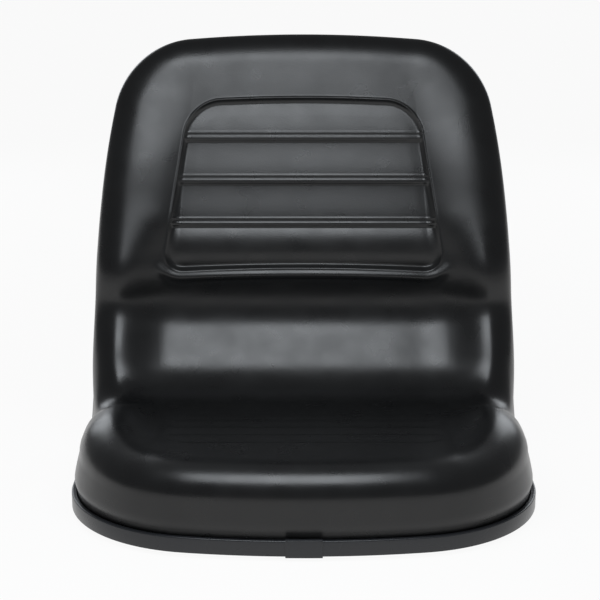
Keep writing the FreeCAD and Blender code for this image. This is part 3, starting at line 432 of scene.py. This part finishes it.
def bolster(x, run):
    """Height of bolsters and wings: eased along the run, times a smooth step across.

    At the hips the step is steepest just below its crest, on the wings close to its foot.
    """
    height = SEAT_BOLSTER * ease(*SEAT_RISE, run)
    height += (HIP_BOLSTER - SEAT_BOLSTER) * ease(*HIP_DIP, run)
    rise = (run - WING_FROM) / WING_CLIMB
    rise = np.clip(0.5 * (rise + np.hypot(rise, WING_SOFT_START)), 0, 1)
    height += (WING_LOW - HIP_BOLSTER) * rise * (2 - rise)
    height += (WING - WING_LOW) * ease(*WING_FALL, run)
    height += (WING_TOP - WING) * ease(*WING_FADE, run)
    climb = np.clip(run - BEND_TO, 0, BACK_LENGTH)
    narrow = (side_centre[0] + np.sqrt(BACK_SIDE**2 - climb**2)) / PAN_HALF_WIDTH
    at_hip = ease(*HIP_ZONE, run)
    foot = BOLSTER_FOOT + (HIP_FOOT - BOLSTER_FOOT) * at_hip
    foot += (WING_FOOT - HIP_FOOT) * ease(*WING_FOOT_ZONE, run)
    crest = BOLSTER_CREST + (WING_CREST - BOLSTER_CREST) * at_hip
    on_wing = ease(*WING_ZONE, run)
    crest += (UPPER_CREST - WING_CREST) * on_wing
    step = BOLSTER_STEP + (HIP_STEP - BOLSTER_STEP) * at_hip + (WING_STEP - HIP_STEP) * on_wing
    part = np.clip((np.abs(x) / narrow - foot) / (crest - foot), 0, 1)
    return height * ease(0, 1, part**step)


SKIN_TURN = (18, 45)


def skin(x, run, height=None, share=None):
    """Point between the pan's inner face and the sitter's side, at a height or a share of the way.

    Low down it stands square to the pan, and higher up it turns towards the point on the face.
    """
    y, z, pan_y, pan_z = pan_line(run)
    place = face_run(run)
    slope = np.interp(place, FACE[0], FACE[3])
    rise = bolster(x, run)
    to_y = np.interp(place, FACE[0], FACE[1]) - rise * np.sin(slope) - y
    to_z = np.interp(place, FACE[0], FACE[2]) + rise * np.cos(slope) - z
    thick = np.hypot(to_y, to_z)
    if share is None:
        share = height / thick
    turned = ease(*SKIN_TURN, share * thick)
    y = y + share * (turned * to_y + (1 - turned) * thick * pan_y)
    z = z + share * (turned * to_z + (1 - turned) * thick * pan_z)
    return np.stack([x, y, z], axis=-1), thick


INSERT_LENGTH = 186.0
INSERT_FOOT_HALF = 156.0
INSERT_TOP_HALF = 126.0
INSERT_CORNERS = (24, 33)
INSERT_BOWS = (5, 7)
INSERT_LIP = 1.1
insert_foot = lumbar_end - 13.0
FOOT_LIP = 2.4
FOOT_LIP_BELOW = 7
FOOT_LIP_WIDTH = 5
RIB_PITCH = 47.3
FIRST_RIB = 37.7
PAD_SINK = 2.2
PAD_SWELL = 1.5
BEAD_WIDTH = 0.9
PAD_LEDGE = 1.8
ROLL_HEIGHT = 2.2
ROLL_CREST = 20
ROLL_FALL = 0.0065
GROOVE = 0.5
SEAT_INSERT_HALF = 140.0
SEAT_INSERT_LENGTH = 115.0
SEAT_INSERT_FRONT = PAN_FRONT - 57.0
SEAT_INSERT_CORNERS = (22, 22)
SEAT_INSERT_DEPTH = 0.3


def round_max(first, second, radius):
    """Greater of two distances, with the corner where they meet rounded to a radius."""
    inner = np.minimum(np.maximum(first, second), -radius)
    return inner + np.hypot(np.maximum(first + radius, 0), np.maximum(second + radius, 0))


def panel_edge(x, up, length, foot_half, top_half, corners, bows):
    """Distance outside a panel's outline: straight sides, bowed foot and top, rounded corners."""
    lean = math.atan2(foot_half - top_half, length)
    side = (np.abs(x) - foot_half + (foot_half - top_half) * up / length) * math.cos(lean)
    across = 1 - np.minimum((x / foot_half) ** 2, 1)
    foot = bows[0] * across - up
    head = up - length - bows[1] * across
    return np.maximum(round_max(side, foot, corners[0]), round_max(side, head, corners[1]))


def pad_row(down, pitch, count=4):
    """Height of the pads: each swells from the rib above to its own rib, a flat band with two beads.

    Under a rib the next pad starts with a ledge; the lowest pad is a round roll without a rib.
    """
    place = np.clip(np.floor(down / pitch), 0, count - 1)
    below = down - pitch * place
    swell = PAD_SWELL * ease(4, pitch - 4, below)
    upper_bead = 0.4 * np.exp(-((below - pitch + 6.4) / BEAD_WIDTH) ** 2)
    lower_bead = 0.45 * np.exp(-((below - pitch + 1.1) / BEAD_WIDTH) ** 2)
    beads = upper_bead + lower_bead
    roll = ROLL_HEIGHT - ROLL_FALL * (below - ROLL_CREST) ** 2
    ledge = np.where(place > 0, PAD_LEDGE * ease(5, 0, below), 0)
    return -PAD_SINK + ledge + np.where(place == count - 1, roll * ease(0, 6, below), swell + beads)


def panel_relief(edge, pads, lip, depth):
    """Relief of a panel: a thin raised lip round the outline, a groove inside it, then the pads."""
    raised = lip * np.exp(-(edge / 1.2) ** 2)
    groove = -GROOVE * ease(-20, -3, edge)
    return raised + depth * ease(0.8, -6.5, edge) * (pads + groove)


COLUMNS = np.concatenate([np.linspace(0, 112, 15)[:-1], np.linspace(112, 162, 52)])
COLUMNS = np.concatenate([-COLUMNS[:0:-1], COLUMNS])
CORE_FRONT = 90.0
CORE_BACK = insert_foot + INSERT_LENGTH + 14.0
ROWS = np.concatenate([
    np.linspace(CORE_FRONT, SEAT_INSERT_FRONT - 4, 4)[:-1],
    np.linspace(SEAT_INSERT_FRONT - 4, SEAT_INSERT_FRONT + SEAT_INSERT_LENGTH + 5, 78)[:-1],
    np.linspace(SEAT_INSERT_FRONT + SEAT_INSERT_LENGTH + 5, insert_foot - 8, 46)[:-1],
    np.linspace(insert_foot - 8, CORE_BACK, 285),
])
pan_runs = np.arange(0, RIM_LENGTH, 0.5)
ROW_RUNS = np.interp(ROWS, face_run(pan_runs), pan_runs)
WIDTHS = np.interp(ROWS, [0, 200, insert_foot - 60, insert_foot, insert_foot + INSERT_LENGTH, 900],
                   [0.91, 0.91, 1, 1, INSERT_TOP_HALF / INSERT_FOOT_HALF, 0.70])


def sitting_face():
    """Middle of the sitter's side: a grid of columns and rows, both panels raised along its normal."""
    x = COLUMNS[None] * WIDTHS[:, None]
    row = np.repeat(ROWS[:, None], len(COLUMNS), axis=1)
    points = skin(x, np.repeat(ROW_RUNS[:, None], len(COLUMNS), axis=1), share=1)[0]
    up = row - insert_foot
    edge = panel_edge(x, up, INSERT_LENGTH, INSERT_FOOT_HALF, INSERT_TOP_HALF,
                      INSERT_CORNERS, INSERT_BOWS)
    down = INSERT_LENGTH - up + RIB_PITCH - FIRST_RIB
    at_foot = ease(14, -2, up)
    relief = panel_relief(edge, pad_row(down, RIB_PITCH), INSERT_LIP * (1 - at_foot), 1.0)
    relief += FOOT_LIP * at_foot * np.exp(-((edge - FOOT_LIP_BELOW) / FOOT_LIP_WIDTH) ** 2)
    ahead = row - SEAT_INSERT_FRONT
    seat_edge = panel_edge(x, ahead, SEAT_INSERT_LENGTH, SEAT_INSERT_HALF, SEAT_INSERT_HALF,
                           SEAT_INSERT_CORNERS, (0, 0))
    relief += panel_relief(seat_edge, pad_row(ahead, SEAT_INSERT_LENGTH / 4), 0.0, SEAT_INSERT_DEPTH)
    slope = np.interp(row, FACE[0], FACE[3])
    return points + relief[..., None] * np.stack([0 * x, -np.sin(slope), np.cos(slope)], axis=-1)


SEAT_EDGE_ROLL = 42.0
BACK_EDGE_ROLL = 30.0
WALL_LEAN = 6.0
EDGE_WALL = 24.0
EDGE_WALL_SHARE = 0.45
WALL_FOOT_INSET = 9.0
WALL_TUCK = (6, 0)
WALL_BULGE = (18, 30)
LEAN_FROM = 26.0
TOP_OVERHANG = 6.0
HUG = TRIM_GRIP_IN + 0.5
core = sitting_face()
row_count, column_count = core.shape[:2]
middle = column_count // 2


def round_the_core(field):
    """Values of a grid along its border, once round from the front's middle by the right side."""
    return np.concatenate([field[0, middle:], field[1:, -1], field[-1, -2::-1],
                           field[-2::-1, 0], field[0, 1:middle]])


def matching_rim():
    """Rim point for every point of the core's border: corner to corner, by width or run between."""
    corner = (RIM_BREAKS[1] + RIM_BREAKS[2]) / 2
    top_corner = (RIM_BREAKS[4] + RIM_BREAKS[5]) / 2
    front = corner * np.clip(COLUMNS[middle:] / COLUMNS[-1], 0, 1)
    side_lengths = np.linspace(corner, top_corner, 2000)
    side_runs = rim(side_lengths)[1]
    share = (ROW_RUNS - ROW_RUNS[0]) / (ROW_RUNS[-1] - ROW_RUNS[0])
    side = np.interp(side_runs[0] + share * (side_runs[-1] - side_runs[0]), side_runs, side_lengths)
    top = RIM_BREAKS[-1] + (top_corner - RIM_BREAKS[-1]) * COLUMNS[middle:] / COLUMNS[-1]
    right = np.concatenate([front, side[1:], top[-2::-1]])
    return [np.concatenate([half, sign * half[-2:0:-1]]) for half, sign in zip(rim(right), MIRROR)]


rim_x, rim_run, rim_out_x, rim_out_run = matching_rim()
swell = TOP_OVERHANG * ease(BEND_TO + 40, RIM_LENGTH - 90, rim_run)
on_back = ease(BEND_FROM - 40, BEND_TO, rim_run)
edge_roll = SEAT_EDGE_ROLL + on_back * (BACK_EDGE_ROLL - SEAT_EDGE_ROLL)
lean_in = (1 - on_back) * WALL_LEAN * rim_out_x**2


def edge_rings():
    """Rings from the core's border out to the edge, over its roll and down the wall into the pan.

    The roll is a quarter ellipse; the wall draws in where it stands behind the trim.
    """
    grid = np.broadcast_arrays(COLUMNS[None] * WIDTHS[:, None], ROW_RUNS[:, None])
    from_x, from_run = [round_the_core(field) for field in grid]
    crest = 1 + lean_in - swell + edge_roll
    to_x = rim_x - crest * rim_out_x
    to_run = rim_run - crest * rim_out_run
    out = np.linspace(0, 1, 10)[1:, None]
    rings = [skin(from_x + out * (to_x - from_x), from_run + out * (to_run - from_run), share=1)[0]]
    turn = np.linspace(math.pi / 2, 0, 13)[1:, None]
    step = 1 + lean_in - swell + edge_roll * (1 - np.cos(turn))
    x = rim_x - step * rim_out_x
    run = rim_run - step * rim_out_run
    thick = skin(x, run, share=1)[1]
    foot = (EDGE_WALL + EDGE_WALL_SHARE * (thick - EDGE_WALL)) / thick
    rings.append(skin(x, run, share=foot + (1 - foot) * np.sin(turn))[0])
    wall_foot = foot[-1] * thick[-1]
    drop = np.linspace(1, 0, 15)[1:, None]
    height = wall_foot * drop
    inset = HUG + (WALL_FOOT_INSET - HUG) * ease(*WALL_TUCK, height)
    inset = inset + (1 - swell - HUG) * ease(*WALL_BULGE, height)
    inset = inset + lean_in * np.clip((height - LEAN_FROM) / (wall_foot - LEAN_FROM), 0, 1) ** 1.3
    rings.append(skin(rim_x - inset * rim_out_x, rim_run - inset * rim_out_run, height=height)[0])
    return np.concatenate(rings)


def cushion_mesh():
    """Core grid, rings round it and the underside, joined as quads into one closed skin."""
    rings = edge_rings()
    around = rings.shape[1]
    number = np.arange(row_count * column_count).reshape(row_count, column_count)
    patch = np.stack([number[:-1, :-1], number[:-1, 1:], number[1:, 1:], number[1:, :-1]], axis=-1)
    ring_number = core.size // 3 + np.arange(rings.shape[0] * around).reshape(-1, around)
    ladder = np.vstack([round_the_core(number)[None], ring_number])
    following = np.roll(ladder, -1, axis=1)
    sides = np.stack([ladder[:-1], ladder[1:], following[1:], following[:-1]], axis=-1)
    last = ring_number[-1]
    half = around // 2
    right = last[:half + 1]
    left = np.roll(last[::-1], 1)[:half + 1]
    under = np.stack([right[:-1], left[:-1], left[1:], right[1:]], axis=-1)
    quads = np.concatenate([patch.reshape(-1, 4), sides.reshape(-1, 4), under[1:-1]])
    points = np.concatenate([core.reshape(-1, 3), rings.reshape(-1, 3)])
    ends = [[right[1], right[0], left[1]], [right[-2], left[-2], right[-1]]]
    return mesh_object("cushion_skin", points, quads, ends)


cushion = cushion_mesh()
VINYL = ((0.0048, 0.005, 0.0053), (0.0075, 0.0078, 0.0082))
vinyl = grained("black_vinyl", VINYL, cells=900, drift=30, depth=0.00004, gloss=(0.26, 0.34))
dress(cushion, vinyl)
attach(cushion, "root")
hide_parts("cushion")


# Studio: a pale floor, a near softbox over the seat's front, two larger ones behind its sides and a
# dim surround. Floor and surround show white to the camera, and the floor keeps the seat's shadow.
FLOOR_WIDTH = 30000.0
floor_grid = np.array([(-1, -1, 0), (1, -1, 0), (-1, 1, 0), (1, 1, 0)], float) * FLOOR_WIDTH / 2
floor = mesh_object("studio_floor", floor_grid, np.array([[0, 1, 3, 2]]))
FLOOR_SHARE = 0.94


def white_share(tree, plain, mirrored, shown):
    """How much white a ray sees: a plain share, more if mirrored or let through, more for the camera."""
    rays = new_node(tree, "ShaderNodeLightPath")
    either = new_node(tree, "ShaderNodeMath", operation="MAXIMUM")
    to_mirror = new_node(tree, "ShaderNodeMath", operation="MULTIPLY_ADD")
    to_mirror.inputs[1].default_value = mirrored
    to_mirror.inputs[2].default_value = plain
    to_camera = new_node(tree, "ShaderNodeMath", operation="MULTIPLY_ADD")
    to_camera.inputs[1].default_value = shown
    tree.links.new(rays.outputs["Is Glossy Ray"], either.inputs[0])
    tree.links.new(rays.outputs["Is Transmission Ray"], either.inputs[1])
    tree.links.new(either.outputs[0], to_mirror.inputs[0])
    tree.links.new(rays.outputs["Is Camera Ray"], to_camera.inputs[0])
    tree.links.new(to_mirror.outputs[0], to_camera.inputs[2])
    return to_camera.outputs[0]


floor_white = bpy.data.materials.new("floor_white")
floor_white.use_nodes = True
floor_tree = floor_white.node_tree
floor_paper = floor_tree.nodes["Principled BSDF"]
floor_paper.inputs["Base Color"].default_value = (0.9, 0.9, 0.9, 1)
floor_paper.inputs["Roughness"].default_value = 0.9
floor_glow = new_node(floor_tree, "ShaderNodeEmission", Color=(1, 1, 1, 1), Strength=1.0)
floor_mix = new_node(floor_tree, "ShaderNodeMixShader")
floor_tree.links.new(white_share(floor_tree, 0, FLOOR_SHARE, FLOOR_SHARE), floor_mix.inputs[0])
floor_tree.links.new(floor_paper.outputs[0], floor_mix.inputs[1])
floor_tree.links.new(floor_glow.outputs[0], floor_mix.inputs[2])
floor_tree.links.new(floor_mix.outputs[0], floor_tree.nodes["Material Output"].inputs["Surface"])
dress(floor, floor_white)

SURROUND_DIM = 0.16
SURROUND_MIRRORED = 0.04
world = bpy.data.worlds.new("white_surround")
world.use_nodes = True
bpy.context.scene.world = world
sky_tree = world.node_tree
sky_light = sky_tree.nodes["Background"]
sky_light.inputs["Color"].default_value = (0.95, 0.97, 1.0, 1)
sky_strength = white_share(sky_tree, SURROUND_DIM, SURROUND_MIRRORED, 1 - SURROUND_DIM)
sky_tree.links.new(sky_strength, sky_light.inputs["Strength"])


def softbox(name, place, target, width, height, radiance):
    """Rectangular lamp that faces a target; its power follows from the brightness of its cloth."""
    lamp = bpy.data.lights.new(name, "AREA")
    lamp.shape = "RECTANGLE"
    lamp.size = width * MM
    lamp.size_y = height * MM
    lamp.energy = radiance * math.pi * width * height * MM * MM
    lamp.color = (0.91, 0.955, 1.0)
    piece = bpy.data.objects.new(name, lamp)
    piece.location = Vector(place) * MM
    piece.rotation_euler = (Vector(target) - Vector(place)).to_track_quat("-Z", "Y").to_euler()
    piece.visible_camera = False
    bpy.context.scene.collection.objects.link(piece)


softbox("key_box", (-40, -255, 635), (-40, -141, 148), 440, 308, 6.2)
softbox("left_rear_box", (-1000, 1700, 830), (-150, 30, 90), 700, 900, 2.6)
softbox("right_rear_box", (1000, 1700, 830), (150, 30, 90), 700, 900, 2.6)

# Camera: somewhat above the seat and looking slightly down on it, as the photograph was taken.
CAMERA_DISTANCE = 1750.0
CAMERA_ELEVATION = math.radians(14.7)
CAMERA_AIM = Vector((-3.8, 32, 203))
camera_data = bpy.data.cameras.new("photo_camera")
camera_data.sensor_width = 36.0
camera_data.lens = 103.6
camera = bpy.data.objects.new("photo_camera", camera_data)
camera_out = Vector((0, -math.cos(CAMERA_ELEVATION), math.sin(CAMERA_ELEVATION)))
camera.location = (CAMERA_AIM + camera_out * CAMERA_DISTANCE) * MM
camera.rotation_euler = (-camera_out).to_track_quat("-Z", "Y").to_euler()
bpy.context.scene.collection.objects.link(camera)
bpy.context.scene.camera = camera
bpy.context.scene.view_settings.view_transform = "Standard"
